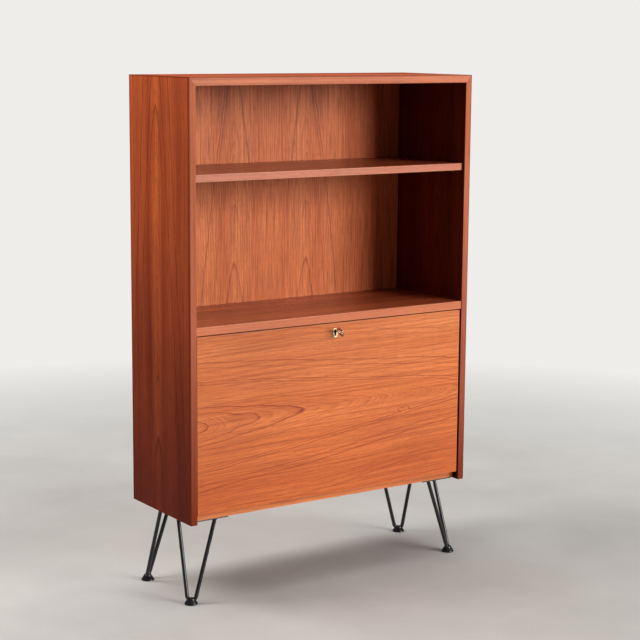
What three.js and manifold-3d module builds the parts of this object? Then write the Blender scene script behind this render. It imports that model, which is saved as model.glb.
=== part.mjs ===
// Secretary desk: a teak carcass with open shelves over a drop-front writing flap, on four steel hairpin legs.
// Millimetres, +Z up. X runs across the width, the front looks towards -Y and the floor is Z = 0.
// Pieces are placed with Y = 0 in the middle of the carcass depth. The last lines shift the whole desk
// along Y so that the origin is the middle of its bounding box on the floor.
import * as THREE from "three";
import { mergeVertices } from "three/addons/utils/BufferGeometryUtils.js";
import Module from "manifold-3d";

const wasm = await Module();
wasm.setup();

// ---------------------------------------------------------------- driving dimensions

const WIDTH = 850;
const DEPTH = 300;
const HEIGHT = 1300;
const GAP = 0.3; // between pieces that touch

const SIDE_T = 18;
const SIDE_FOOT_Z = 212;
const TOP_T = 20;
const INNER_X = WIDTH / 2 - SIDE_T;
const FRONT_Y = -DEPTH / 2;
const BACK_Y = DEPTH / 2;

const BACK_T = 5;
const BACK_FACE_Y = 143; // front face of the back panel
const REBATE = 6; // how far the back panel is let into the sides and top
const HOUSING = 5; // how far a fixed board is let into the sides
const HOUSING_START_Y = -115; // the housings stop short of the front edge

const BOTTOM_Z = 215;
const BOTTOM_T = 18;
const BOTTOM_FRONT_Y = -127;

const FIXED_SHELF_TOP = 702;
const FIXED_SHELF_T = 20.5;
const FIXED_SHELF_FRONT_Y = -148;

const LOOSE_SHELF_Z = 1051.5;
const LOOSE_SHELF_T = 18;
const LOOSE_SHELF_HALF = 405;
const LOOSE_SHELF_FRONT_Y = -141.5;
const LOOSE_SHELF_BACK_Y = 141;
const PIN_R = 2.5;
const PIN_ROWS_Y = [-105, 105];
const PIN_PITCH = 64;

const FLAP_HALF = 404;
const FLAP_Z = 234;
const FLAP_TOP = 678.5;
const FLAP_FRONT_Y = -146;
const FLAP_T = 18;
const FLAP_INNER_Y = FLAP_FRONT_Y + FLAP_T;

const HINGE_Y = -127.5; // flap pivot, along X
const HINGE_Z = 233.5;
const HINGE_X = 300;
const HINGE_HALF = 30;
const KNUCKLE_HALF = 10; // half length of the middle knuckle
const KNUCKLE_R = 3;
const HINGE_PIN_R = 1.4;
const LEAF_T = 2;
const LEAF_REACH = 27.5;

// Sliding stays. The lug on the flap and the swivelling guide on the side are equally far from the flap
// pivot, so the arm and the guide turn at exactly half the flap's rate.
const STAY_LUG_Y = 12; // lug pivot from the flap pivot, closed
const STAY_LUG_Z = 150;
const STAY_START_DEG = 10.6; // angle between lug and guide about the flap pivot, closed
const STAY_ARM_X = [396, 398];
const STAY_ARM_LENGTH = 240.2; // lug pivot to stop pin
const STAY_ARM_HALF = 5;

const KEY_Z = 658.5;
const KEY_TURN_DEG = 30; // how far the key stands turned from upright
const KEY_BOW_Y = -170.5;
const KEY_BOW_R = 10.6;
const KEY_BOW_WIRE = 1.9;
const BARREL_R = 6;
const LOCK_HALF = 26;
const LOCK_Y = [-138, -128.3];
const LOCK_Z = [641, 675];
const BOLT_HALF = 11;
const BOLT_Y = [-136.5, -130.5];
const BOLT_Z = [667.6, 680.2];

const INSERT_Z = 590; // pigeonhole shelf inside the desk
const INSERT_T = 12;
const INSERT_FRONT_Y = -12;
const DIVIDER_T = 10;
const BAYS = 4;
const DRAWER_FRONT_T = 12;
const DRAWER_DEPTH = 134;

const ROD_R = 5;
const LEG_TOP = new THREE.Vector3(368, 77, SIDE_FOOT_Z); // middle of the two rods under the plate
const LEG_BEND = new THREE.Vector3(403, 112, 22); // centre of the bend at the foot
const LEG_TOP_HALF = 48; // half the distance between the rods under the plate
const LEG_BEND_R = 12;
const PLATE_T = 2.7;
const PLATE_CORNER = [405.5, 127];
const PLATE_LEG = 105;
const GLIDE_AT = [405.5, 113.5];

// ---------------------------------------------------------------- materials

const finish = (color, roughness, metalness) => () =>
  new THREE.MeshStandardMaterial({ color, roughness, metalness });
const teakUpright = finish(0x8a3f1c, 0.45, 0);
const teakLevel = finish(0xb4622f, 0.45, 0);
const teakFlap = finish(0xc96f3a, 0.4, 0);
const teakInside = finish(0xa85c30, 0.5, 0);
const brass = finish(0xb08d4a, 0.35, 1);
const nickel = finish(0xc9c2b4, 0.3, 1);
const blackSteel = finish(0x161617, 0.45, 0.6);
const blackPlastic = finish(0x101011, 0.35, 0);

// ---------------------------------------------------------------- shapes and booleans

function box([x0, x1], [y0, y1], [z0, z1]) {
  const geometry = new THREE.BoxGeometry(x1 - x0, y1 - y0, z1 - z0);
  return geometry.translate((x0 + x1) / 2, (y0 + y1) / 2, (z0 + z1) / 2);
}

function rodAlongX([x0, x1], y, z, radius, sides = 16) {
  const geometry = new THREE.CylinderGeometry(radius, radius, x1 - x0, sides);
  return geometry.rotateZ(Math.PI / 2).translate((x0 + x1) / 2, y, z);
}

function rodAlongY(x, [y0, y1], z, radius, sides = 16) {
  const geometry = new THREE.CylinderGeometry(radius, radius, y1 - y0, sides);
  return geometry.translate(x, (y0 + y1) / 2, z);
}

function rodAlongZ(x, y, [z0, z1], radius, sides = 16) {
  const geometry = new THREE.CylinderGeometry(radius, radius, z1 - z0, sides);
  return geometry.rotateX(Math.PI / 2).translate(x, y, (z0 + z1) / 2);
}

function solid(geometry) {
  const bare = geometry.clone();
  bare.deleteAttribute("normal");
  bare.deleteAttribute("uv");
  const merged = mergeVertices(bare, 1e-3);
  return new wasm.Manifold(
    new wasm.Mesh({
      numProp: 3,
      vertProperties: merged.attributes.position.array,
      triVerts: new Uint32Array(merged.index.array),
    }),
  );
}

function geometryOf(manifold) {
  const mesh = manifold.getMesh();
  const geometry = new THREE.BufferGeometry();
  geometry.setAttribute("position", new THREE.BufferAttribute(mesh.vertProperties, 3));
  geometry.setIndex(new THREE.BufferAttribute(mesh.triVerts, 1));
  geometry.computeVertexNormals();
  return geometry;
}

const joined = (...geometries) => geometryOf(geometries.map(solid).reduce((all, next) => all.add(next)));

const cut = (geometry, ...tools) =>
  geometryOf(tools.map(solid).reduce((left, tool) => left.subtract(tool), solid(geometry)));

// A prism from an outline in the X-Z plane, running along Y.
function prismAlongY(outline, [y0, y1]) {
  const shape = new THREE.Shape(outline.map(([x, z]) => new THREE.Vector2(x, z)));
  const geometry = new THREE.ExtrudeGeometry(shape, { depth: y1 - y0, bevelEnabled: false });
  return geometry.rotateX(Math.PI / 2).translate(0, y1, 0);
}

// A polygon with its corners rounded off by a cut of the given length.
function roundedPolygon(corners, corner) {
  const points = corners.map(([x, y]) => new THREE.Vector2(x, y));
  const towards = (from, to) => from.clone().add(to.clone().sub(from).setLength(corner));
  const shape = new THREE.Shape();
  points.forEach((point, i) => {
    const before = towards(point, points.at(i - 1));
    const after = towards(point, points[(i + 1) % points.length]);
    if (i === 0) shape.moveTo(before.x, before.y);
    else shape.lineTo(before.x, before.y);
    shape.quadraticCurveTo(point.x, point.y, after.x, after.y);
  });
  shape.closePath();
  return shape;
}

// ---------------------------------------------------------------- groups that carry the pieces

const desk = new THREE.Group();

// Pieces of a pair are drawn for the +X side, and the left one is its mirror image.
const rightHalf = new THREE.Group();
const leftHalf = new THREE.Group();
leftHalf.scale.x = -1;
desk.add(rightHalf, leftHalf);
const HALVES = [
  ["left", leftHalf],
  ["right", rightHalf],
];

function add(name, geometry, material, parent = desk) {
  const mesh = new THREE.Mesh(geometry, material());
  mesh.name = name;
  parent.add(mesh);
}

// ---------------------------------------------------------------- carcass

function pinHoles() {
  const height = LOOSE_SHELF_Z - GAP - PIN_R;
  const hole = (y, step) =>
    rodAlongX([INNER_X - 1, INNER_X + 9], y, height + step * PIN_PITCH, PIN_R + GAP, 12);
  return PIN_ROWS_Y.flatMap((y) => [-1, 0, 1].map((step) => hole(y, step)));
}

function housingFor(z0, z1) {
  return box([INNER_X - 1, INNER_X + HOUSING + GAP], [HOUSING_START_Y - GAP, BACK_Y + 1], [z0 - GAP, z1 + GAP]);
}

function backRebate() {
  return box(
    [INNER_X - 1, INNER_X + REBATE + GAP],
    [BACK_FACE_Y - GAP, BACK_Y + 1],
    [SIDE_FOOT_Z - 1, HEIGHT - TOP_T + REBATE + GAP],
  );
}

function sidePanel() {
  const outer = WIDTH / 2;
  const mitreDrop = 2 * GAP;
  const outline = [
    [INNER_X, SIDE_FOOT_Z],
    [outer, SIDE_FOOT_Z],
    [outer, HEIGHT - mitreDrop],
    [INNER_X, HEIGHT - TOP_T - mitreDrop],
  ];
  return cut(
    prismAlongY(outline, [FRONT_Y, BACK_Y]),
    backRebate(),
    housingFor(BOTTOM_Z, BOTTOM_Z + BOTTOM_T),
    housingFor(FIXED_SHELF_TOP - FIXED_SHELF_T, FIXED_SHELF_TOP),
    ...pinHoles(),
  );
}

function topPanel() {
  const outer = WIDTH / 2;
  const outline = [
    [-INNER_X, HEIGHT - TOP_T],
    [INNER_X, HEIGHT - TOP_T],
    [outer, HEIGHT],
    [-outer, HEIGHT],
  ];
  const rebate = box(
    [-INNER_X - REBATE - GAP, INNER_X + REBATE + GAP],
    [BACK_FACE_Y - GAP, BACK_Y + 1],
    [HEIGHT - TOP_T - 1, HEIGHT - TOP_T + REBATE + GAP],
  );
  return cut(prismAlongY(outline, [FRONT_Y, BACK_Y]), rebate);
}

// A board between the sides, with a tongue at each end that sits in the side's housing.
function housedBoard(frontY, z0, z1) {
  const span = INNER_X - GAP;
  const rear = BACK_FACE_Y - 2 * GAP;
  const board = box([-span, span], [frontY, rear], [z0, z1]);
  const tongues = box([-span - HOUSING, span + HOUSING], [HOUSING_START_Y, rear], [z0, z1]);
  return joined(board, tongues);
}

function bottomPanel() {
  const seats = [-HINGE_X, HINGE_X].flatMap((x) => [
    box(
      [x - HINGE_HALF - GAP, x + HINGE_HALF + GAP],
      [BOTTOM_FRONT_Y - 1, HINGE_Y + LEAF_REACH + GAP],
      [HINGE_Z - 0.5 - LEAF_T - GAP, HINGE_Z + 1],
    ),
    knuckleRelief(x),
  ]);
  return cut(housedBoard(BOTTOM_FRONT_Y, BOTTOM_Z, BOTTOM_Z + BOTTOM_T), ...seats);
}

function fixedShelf() {
  const z0 = FIXED_SHELF_TOP - FIXED_SHELF_T;
  const plateSeat = box([-22.3, 22.3], [-141.3, -125.7], [z0 - 1, z0 + 1.8]);
  const boltHole = box([-12.5, 12.5], [-138, -129], [z0 - 1, z0 + 6.5]);
  return cut(housedBoard(FIXED_SHELF_FRONT_Y, z0, FIXED_SHELF_TOP), plateSeat, boltHole);
}

function backPanel() {
  const reach = INNER_X + REBATE;
  return box([-reach, reach], [BACK_FACE_Y, BACK_FACE_Y + BACK_T], [BOTTOM_Z, HEIGHT - TOP_T + REBATE]);
}

function looseShelf() {
  return box(
    [-LOOSE_SHELF_HALF, LOOSE_SHELF_HALF],
    [LOOSE_SHELF_FRONT_Y, LOOSE_SHELF_BACK_Y],
    [LOOSE_SHELF_Z, LOOSE_SHELF_Z + LOOSE_SHELF_T],
  );
}

function shelfPin(y) {
  const height = LOOSE_SHELF_Z - GAP - PIN_R;
  const shank = rodAlongX([INNER_X - 10, INNER_X + 8], y, height, PIN_R, 12);
  const collar = rodAlongX([INNER_X - 1.8, INNER_X - GAP], y, height, PIN_R + 1.7, 12);
  return joined(shank, collar);
}

// ---------------------------------------------------------------- flap and its hinges

function knuckleRelief(x) {
  const half = HINGE_HALF + 2 * GAP;
  return rodAlongX([x - half, x + half], HINGE_Y, HINGE_Z, KNUCKLE_R + 0.7, 24);
}

function flap() {
  const leafSeats = [-HINGE_X, HINGE_X].flatMap((x) => [
    box(
      [x - HINGE_HALF - GAP, x + HINGE_HALF + GAP],
      [FLAP_INNER_Y - LEAF_T - GAP, FLAP_INNER_Y + 1],
      [FLAP_Z - 1, HINGE_Z + LEAF_REACH + GAP],
    ),
    knuckleRelief(x),
  ]);
  const lockSeat = box(
    [-LOCK_HALF - GAP, LOCK_HALF + GAP],
    [LOCK_Y[0] - GAP, FLAP_INNER_Y + 1],
    [LOCK_Z[0] - GAP, LOCK_Z[1] + GAP],
  );
  const boltWay = box(
    [-BOLT_HALF - 0.5, BOLT_HALF + 0.5],
    [BOLT_Y[0] - 0.5, BOLT_Y[1] + 0.5],
    [LOCK_Z[1] - 5, FLAP_TOP + 1],
  );
  const barrelWay = rodAlongY(0, [FLAP_FRONT_Y - 1, LOCK_Y[0]], KEY_Z, BARREL_R + 0.5, 24);
  const slab = box([-FLAP_HALF, FLAP_HALF], [FLAP_FRONT_Y, FLAP_INNER_Y], [FLAP_Z, FLAP_TOP]);
  return cut(slab, ...leafSeats, lockSeat, boltWay, barrelWay);
}

// The leaf let into the bottom board, with the middle knuckle.
function fixedLeaf() {
  const top = HINGE_Z - 0.5;
  const rear = HINGE_Y + LEAF_REACH;
  const spanX = [HINGE_X - HINGE_HALF, HINGE_X + HINGE_HALF];
  const middleX = [HINGE_X - KNUCKLE_HALF + GAP, HINGE_X + KNUCKLE_HALF - GAP];
  const plate = box(spanX, [HINGE_Y + KNUCKLE_R + 0.5, rear], [top - LEAF_T, top]);
  const neck = box(middleX, [HINGE_Y, HINGE_Y + KNUCKLE_R + 1], [top - LEAF_T, top]);
  const knuckle = rodAlongX(middleX, HINGE_Y, HINGE_Z, KNUCKLE_R);
  return cut(joined(plate, neck, knuckle), hingePinWay());
}

// The leaf let into the flap, with the two outer knuckles.
function movingLeaf() {
  const inner = FLAP_INNER_Y;
  const spanX = [HINGE_X - HINGE_HALF, HINGE_X + HINGE_HALF];
  const outerX = [
    [spanX[0], HINGE_X - KNUCKLE_HALF - GAP],
    [HINGE_X + KNUCKLE_HALF + GAP, spanX[1]],
  ];
  const plate = box(spanX, [inner - LEAF_T, inner], [HINGE_Z + KNUCKLE_R + 0.5, HINGE_Z + LEAF_REACH]);
  const ends = outerX.flatMap((x) => [
    box(x, [inner - LEAF_T, inner], [HINGE_Z, HINGE_Z + KNUCKLE_R + 1]),
    rodAlongX(x, HINGE_Y, HINGE_Z, KNUCKLE_R),
  ]);
  return cut(joined(plate, ...ends), hingePinWay());
}

function hingePinWay() {
  return rodAlongX([HINGE_X - 40, HINGE_X + 40], HINGE_Y, HINGE_Z, HINGE_PIN_R + 0.2);
}

function hingePin() {
  return rodAlongX([HINGE_X - HINGE_HALF, HINGE_X + HINGE_HALF], HINGE_Y, HINGE_Z, HINGE_PIN_R);
}

// ---------------------------------------------------------------- stays

const stayRadius = Math.hypot(STAY_LUG_Y, STAY_LUG_Z);
const lugAngle = Math.atan2(STAY_LUG_Z, STAY_LUG_Y);
const guideAngle = lugAngle - THREE.MathUtils.degToRad(STAY_START_DEG);
const LUG = [HINGE_Y + STAY_LUG_Y, HINGE_Z + STAY_LUG_Z];
const GUIDE = [HINGE_Y + stayRadius * Math.cos(guideAngle), HINGE_Z + stayRadius * Math.sin(guideAngle)];
const armTilt = Math.atan2(GUIDE[1] - LUG[1], GUIDE[0] - LUG[0]);

// Turns a geometry drawn along +Y from the origin so that it runs along the closed arm from the given point.
const alongArm = (geometry, [y, z]) => geometry.rotateX(armTilt).translate(0, y, z);

// The lug on the flap's inner face: a foot, an ear and the pivot stud with its head.
function stayLug() {
  const [y, z] = LUG;
  const foot = box([378, 395.5], [FLAP_INNER_Y + GAP, FLAP_INNER_Y + 2.3], [z - 13, z + 13]);
  const ear = box([393.5, 395.5], [FLAP_INNER_Y + GAP, y + 6], [z - 7, z + 7]);
  const stud = rodAlongX([394, 399.8], y, z, 2.4);
  const head = rodAlongX([398.4, 399.8], y, z, 4);
  return joined(foot, ear, stud, head);
}

// The flat arm, with an eye at the lug and a stop pin at the far end.
function stayArm() {
  const [x0, x1] = STAY_ARM_X;
  const bar = box([x0, x1], [0, STAY_ARM_LENGTH], [-STAY_ARM_HALF, STAY_ARM_HALF]);
  const eye = rodAlongX([x0, x1], 0, 0, STAY_ARM_HALF + 2, 20);
  const tip = rodAlongX([x0, x1], STAY_ARM_LENGTH, 0, STAY_ARM_HALF, 16);
  const stop = rodAlongX([x0 - 1.6, x1 + 1.6], STAY_ARM_LENGTH, 0, 3, 12);
  const hole = rodAlongX([x0 - 1, x1 + 1], 0, 0, 2.7, 16);
  return alongArm(cut(joined(bar, eye, tip, stop), hole), LUG);
}

// The slotted guide that the arm runs through, with the stud it swivels on.
function stayGuide() {
  const [x0, x1] = STAY_ARM_X;
  const block = box([x0 - 2.4, x1 + 2.4], [-5, 5], [-8.5, 8.5]);
  const slot = box([x0 - 0.4, x1 + 0.4], [-6, 6], [-STAY_ARM_HALF - 0.5, STAY_ARM_HALF + 0.5]);
  const stud = rodAlongX([x1 + 1.5, INNER_X - 0.6], 0, 0, 2.5);
  return alongArm(joined(cut(block, slot), stud), GUIDE);
}

// The plate on the side panel that holds the guide's stud.
function stayPlate() {
  const [y, z] = GUIDE;
  const plate = box([INNER_X - 3.3, INNER_X - GAP], [y - 12, y + 12], [z - 20, z + 20]);
  return cut(plate, rodAlongX([INNER_X - 4, INNER_X + 1], y, z, 2.9));
}

// ---------------------------------------------------------------- lock, on the flap

const keyTurn = (geometry) =>
  geometry.rotateY(-THREE.MathUtils.degToRad(KEY_TURN_DEG)).translate(0, 0, KEY_Z);

// The key, drawn upright about its own axis: ring bow, collar, shank and bit.
function key() {
  const bow = new THREE.TorusGeometry(KEY_BOW_R, KEY_BOW_WIRE, 8, 24);
  bow.rotateY(Math.PI / 2).translate(0, KEY_BOW_Y, 0);
  const shank = rodAlongY(0, [KEY_BOW_Y + KEY_BOW_R, -134], 0, 1.7, 12);
  const collar = rodAlongY(0, [KEY_BOW_Y + KEY_BOW_R + 0.5, KEY_BOW_Y + KEY_BOW_R + 4.5], 0, 2.5, 12);
  const bit = box([-0.9, 0.9], [-140, -135.5], [-5, 0]);
  return keyTurn(joined(bow, shank, collar, bit));
}

// The turning barrel behind the escutcheon, slotted for the key's shank and bit.
function lockBarrel() {
  const barrel = rodAlongY(0, [-145.4, -131], 0, BARREL_R, 24);
  const bore = rodAlongY(0, [-146, -133.5], 0, 2.1, 12);
  const slot = box([-1.3, 1.3], [-146, -135], [-5.4, 0]);
  return keyTurn(cut(barrel, bore, slot));
}

function lockCase() {
  const shell = box([-LOCK_HALF, LOCK_HALF], LOCK_Y, LOCK_Z);
  const barrelSeat = rodAlongY(0, [LOCK_Y[0] - 1, -130.4], KEY_Z, BARREL_R + 0.4, 24);
  const channel = box([-BOLT_HALF - 0.4, BOLT_HALF + 0.4], [BOLT_Y[0] - 0.4, BOLT_Y[1] + 0.4], [KEY_Z, LOCK_Z[1] + 1]);
  return cut(shell, barrelSeat, channel);
}

function lockBolt() {
  return box([-BOLT_HALF, BOLT_HALF], BOLT_Y, BOLT_Z);
}

// The oval plate round the keyhole.
function escutcheon() {
  const depth = 1.4;
  const oval = new THREE.Shape();
  oval.absellipse(0, 0, 8.5, 12.5, 0, 2 * Math.PI);
  const keyhole = new THREE.Path();
  keyhole.moveTo(-1.5, 2.4);
  keyhole.lineTo(-1.5, -7.2);
  keyhole.lineTo(1.5, -7.2);
  keyhole.lineTo(1.5, 2.4);
  keyhole.absarc(0, 5, 3, THREE.MathUtils.degToRad(-60), THREE.MathUtils.degToRad(240), false);
  oval.holes.push(keyhole);
  const geometry = new THREE.ExtrudeGeometry(oval, { depth, bevelEnabled: false, curveSegments: 12 });
  return geometry.rotateX(Math.PI / 2).translate(0, FLAP_FRONT_Y - GAP, KEY_Z - 5);
}

function strikePlate() {
  const z0 = FIXED_SHELF_TOP - FIXED_SHELF_T;
  return cut(box([-22, 22], [-141, -126], [z0, z0 + 1.5]), box([-12.5, 12.5], [-138, -129], [z0 - 1, z0 + 3]));
}

function flapStop() {
  const z1 = FIXED_SHELF_TOP - FIXED_SHELF_T - GAP;
  return box([250, 300], [FLAP_INNER_Y + 0.4, FLAP_INNER_Y + 16], [z1 - 13, z1]);
}

// ---------------------------------------------------------------- pigeonholes and small drawers

const insertTop = INSERT_Z + INSERT_T;
const insertRear = BACK_FACE_Y - 2 * GAP;
const ceiling = FIXED_SHELF_TOP - FIXED_SHELF_T;
const bayWidth = (2 * INNER_X - (BAYS - 1) * DIVIDER_T) / BAYS;
const bayStart = (bay) => -INNER_X + bay * (bayWidth + DIVIDER_T);

function insertShelf() {
  const span = INNER_X - GAP;
  return box([-span, span], [INSERT_FRONT_Y, insertRear], [INSERT_Z, insertTop]);
}

function divider(bay) {
  const x = bayStart(bay) - DIVIDER_T;
  return box([x, x + DIVIDER_T], [INSERT_FRONT_Y, insertRear], [insertTop + GAP, ceiling - GAP]);
}

const drawerX = [bayStart(BAYS - 1) + 1, INNER_X - 1];
const drawerZ = [insertTop + 1, ceiling - 1.5];

function drawerFront() {
  return box(drawerX, [INSERT_FRONT_Y, INSERT_FRONT_Y + DRAWER_FRONT_T], drawerZ);
}

function drawerTray() {
  const wall = 6;
  const [x0, x1] = [drawerX[0] + 1, drawerX[1] - 1];
  const y0 = INSERT_FRONT_Y + DRAWER_FRONT_T + GAP;
  const y1 = INSERT_FRONT_Y + DRAWER_DEPTH;
  const [z0, z1] = [insertTop + 0.5, drawerZ[1] - 8];
  return cut(box([x0, x1], [y0, y1], [z0, z1]), box([x0 + wall, x1 - wall], [y0 + wall, y1 - wall], [z0 + 4, z1 + 1]));
}

// A turned knob: a round-edged disc on a waisted neck.
function drawerKnob() {
  const profile = [
    [0, 0],
    [5, 0],
    [3.6, 3],
    [3.4, 6],
    [6.2, 8.5],
    [7.2, 11],
    [6, 13.2],
    [0, 14],
  ].map(([r, h]) => new THREE.Vector2(r, h));
  const geometry = new THREE.LatheGeometry(profile, 16);
  return geometry
    .rotateX(Math.PI)
    .translate((drawerX[0] + drawerX[1]) / 2, INSERT_FRONT_Y - GAP, (drawerZ[0] + drawerZ[1]) / 2);
}

// ---------------------------------------------------------------- hairpin legs, drawn for the +X +Y corner

// A path through given points, sampled at those points and nowhere else.
class SampledPath extends THREE.Curve {
  constructor(points) {
    super();
    this.points = points;
  }

  getPoint(t, target = new THREE.Vector3()) {
    const last = this.points.length - 1;
    const at = Math.min(Math.max(t, 0), 1) * last;
    const i = Math.min(Math.floor(at + 1e-6), last - 1);
    return target.copy(this.points[i]).lerp(this.points[i + 1], at - i);
  }

  getPointAt(u, target) {
    return this.getPoint(u, target);
  }

  getTangentAt(u, target = new THREE.Vector3()) {
    const half = 0.5 / (this.points.length - 1);
    return target.copy(this.getPoint(u + half)).sub(this.getPoint(u - half)).normalize();
  }
}

// One steel rod bent into a narrow V: two straight legs tangent to a round bend at the foot.
function bentRod(radius) {
  const bendSteps = 8;
  const spread = new THREE.Vector3(1, -1, 0).normalize();
  const axis = LEG_TOP.clone().sub(LEG_BEND);
  const height = axis.length();
  axis.normalize();
  const flare =
    Math.acos(LEG_BEND_R / Math.hypot(LEG_TOP_HALF, height)) - Math.atan2(height, LEG_TOP_HALF);
  const straight = (height + LEG_BEND_R * Math.sin(flare)) / Math.cos(flare) + 12;
  const at = (s, h) => LEG_BEND.clone().addScaledVector(spread, s).addScaledVector(axis, h);
  const bend = Array.from({ length: bendSteps + 1 }, (_, i) => {
    const angle = -flare - (i * (Math.PI - 2 * flare)) / bendSteps;
    return [LEG_BEND_R * Math.cos(angle), LEG_BEND_R * Math.sin(angle)];
  });
  const end = (side, [s, h]) => [s + side * straight * Math.sin(flare), h + straight * Math.cos(flare)];
  const route = [end(1, bend[0]), ...bend, end(-1, bend[bendSteps])];
  const section = new THREE.Shape();
  section.absarc(0, 0, radius, 0, 2 * Math.PI);
  const extrudePath = new SampledPath(route.map(([s, h]) => at(s, h)));
  return new THREE.ExtrudeGeometry(section, { steps: route.length - 1, curveSegments: 6, extrudePath });
}

function hairpin() {
  const above = box([200, 500], [-50, 250], [SIDE_FOOT_Z - GAP, SIDE_FOOT_Z + 60]);
  return cut(bentRod(ROD_R), above);
}

function legPlate() {
  const [x, y] = PLATE_CORNER;
  const outline = roundedPolygon(
    [
      [x, y],
      [x - PLATE_LEG, y],
      [x, y - PLATE_LEG],
    ],
    9,
  );
  const plate = new THREE.ExtrudeGeometry(outline, { depth: PLATE_T, bevelEnabled: false, curveSegments: 4 });
  plate.translate(0, 0, SIDE_FOOT_Z);
  const holes = [
    [13, 13],
    [12, 62],
    [52, 12],
  ].map(([a, b]) => rodAlongZ(x - a, y - b, [SIDE_FOOT_Z - 1, SIDE_FOOT_Z + PLATE_T + 1], 2.6, 10));
  return cut(plate, ...holes);
}

// The cone-shaped glide, with a saddle for the bend of the rod.
function glide() {
  const profile = [
    [0, 0],
    [15.8, 0],
    [17, 1.2],
    [17, 2.8],
    [9.4, 14],
    [8, 15.2],
    [0, 15.2],
  ].map(([r, h]) => new THREE.Vector2(r, h));
  const cone = new THREE.LatheGeometry(profile, 20).rotateX(Math.PI / 2).translate(...GLIDE_AT, 0);
  return cut(cone, bentRod(ROD_R + GAP));
}

// ---------------------------------------------------------------- assembly

for (const [half, parent] of HALVES) {
  add(`side_panel_${half}`, sidePanel(), teakUpright, parent);
  add(`hinge_leaf_bottom_${half}`, fixedLeaf(), brass, parent);
  add(`hinge_leaf_flap_${half}`, movingLeaf(), brass, parent);
  add(`hinge_pin_${half}`, hingePin(), brass, parent);
  add(`stay_lug_${half}`, stayLug(), brass, parent);
  add(`stay_arm_${half}`, stayArm(), brass, parent);
  add(`stay_guide_${half}`, stayGuide(), brass, parent);
  add(`stay_plate_${half}`, stayPlate(), brass, parent);
  add(`flap_stop_${half}`, flapStop(), teakInside, parent);
  add(`drawer_front_${half}`, drawerFront(), teakInside, parent);
  add(`drawer_tray_${half}`, drawerTray(), teakInside, parent);
  add(`drawer_knob_${half}`, drawerKnob(), brass, parent);
  add(`shelf_pin_front_${half}`, shelfPin(PIN_ROWS_Y[0]), brass, parent);
  add(`shelf_pin_back_${half}`, shelfPin(PIN_ROWS_Y[1]), brass, parent);
}

add("top_panel", topPanel(), teakUpright);
add("bottom_panel", bottomPanel(), teakLevel);
add("back_panel", backPanel(), teakUpright);
add("fixed_shelf", fixedShelf(), teakLevel);
add("adjustable_shelf", looseShelf(), teakLevel);
add("flap", flap(), teakFlap);
add("pigeonhole_shelf", insertShelf(), teakInside);
for (let bay = 1; bay < BAYS; bay += 1) add(`divider_${bay}`, divider(bay), teakInside);

add("lock_case", lockCase(), brass);
add("lock_bolt", lockBolt(), brass);
add("lock_barrel", lockBarrel(), brass);
add("escutcheon", escutcheon(), nickel);
add("key", key(), nickel);
add("strike_plate", strikePlate(), brass);

for (const [depthName, scaleY] of [
  ["front", -1],
  ["back", 1],
]) {
  for (const [half, scaleX] of [
    ["left", -1],
    ["right", 1],
  ]) {
    const corner = new THREE.Group();
    corner.scale.set(scaleX, scaleY, 1);
    desk.add(corner);
    add(`leg_plate_${depthName}_${half}`, legPlate(), blackSteel, corner);
    add(`hairpin_${depthName}_${half}`, hairpin(), blackSteel, corner);
    add(`glide_${depthName}_${half}`, glide(), blackPlastic, corner);
  }
}

const keyReach = KEY_BOW_Y - KEY_BOW_R - KEY_BOW_WIRE;
desk.position.y = -(keyReach + BACK_Y) / 2;

const group = new THREE.Group();
group.add(desk);

export default group;
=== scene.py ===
"""Looks of the teak secretary desk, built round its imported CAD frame.

Metres, +Z up, the front looks towards -Y. Boards keep their CAD shape and get rounded arrises and teak of
their own. Hairpins, glides, key, escutcheon, knobs and screws are finer pieces that ride with the CAD bodies.
"""
import itertools
import math
from collections import namedtuple

import bmesh
import bpy
from mathutils import Matrix, Vector


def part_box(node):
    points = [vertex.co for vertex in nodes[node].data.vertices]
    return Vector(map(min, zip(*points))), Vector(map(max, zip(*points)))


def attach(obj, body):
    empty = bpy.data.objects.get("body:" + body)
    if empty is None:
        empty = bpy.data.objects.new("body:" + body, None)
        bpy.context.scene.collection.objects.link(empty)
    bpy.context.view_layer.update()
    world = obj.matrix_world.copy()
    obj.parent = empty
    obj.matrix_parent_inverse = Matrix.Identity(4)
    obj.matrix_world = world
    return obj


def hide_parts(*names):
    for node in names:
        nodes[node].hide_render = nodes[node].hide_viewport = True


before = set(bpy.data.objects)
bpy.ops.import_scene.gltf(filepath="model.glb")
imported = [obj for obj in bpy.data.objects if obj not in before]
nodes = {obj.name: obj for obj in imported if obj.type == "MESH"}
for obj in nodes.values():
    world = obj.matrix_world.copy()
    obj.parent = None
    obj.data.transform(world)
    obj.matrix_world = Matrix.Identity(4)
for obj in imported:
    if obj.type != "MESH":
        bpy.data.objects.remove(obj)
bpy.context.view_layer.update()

X, Y, Z = 0, 1, 2
HALVES = {"left": -1, "right": 1}  # the sign of x on each side

# ---------------------------------------------------------------- dimensions repeated from the CAD part

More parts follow.
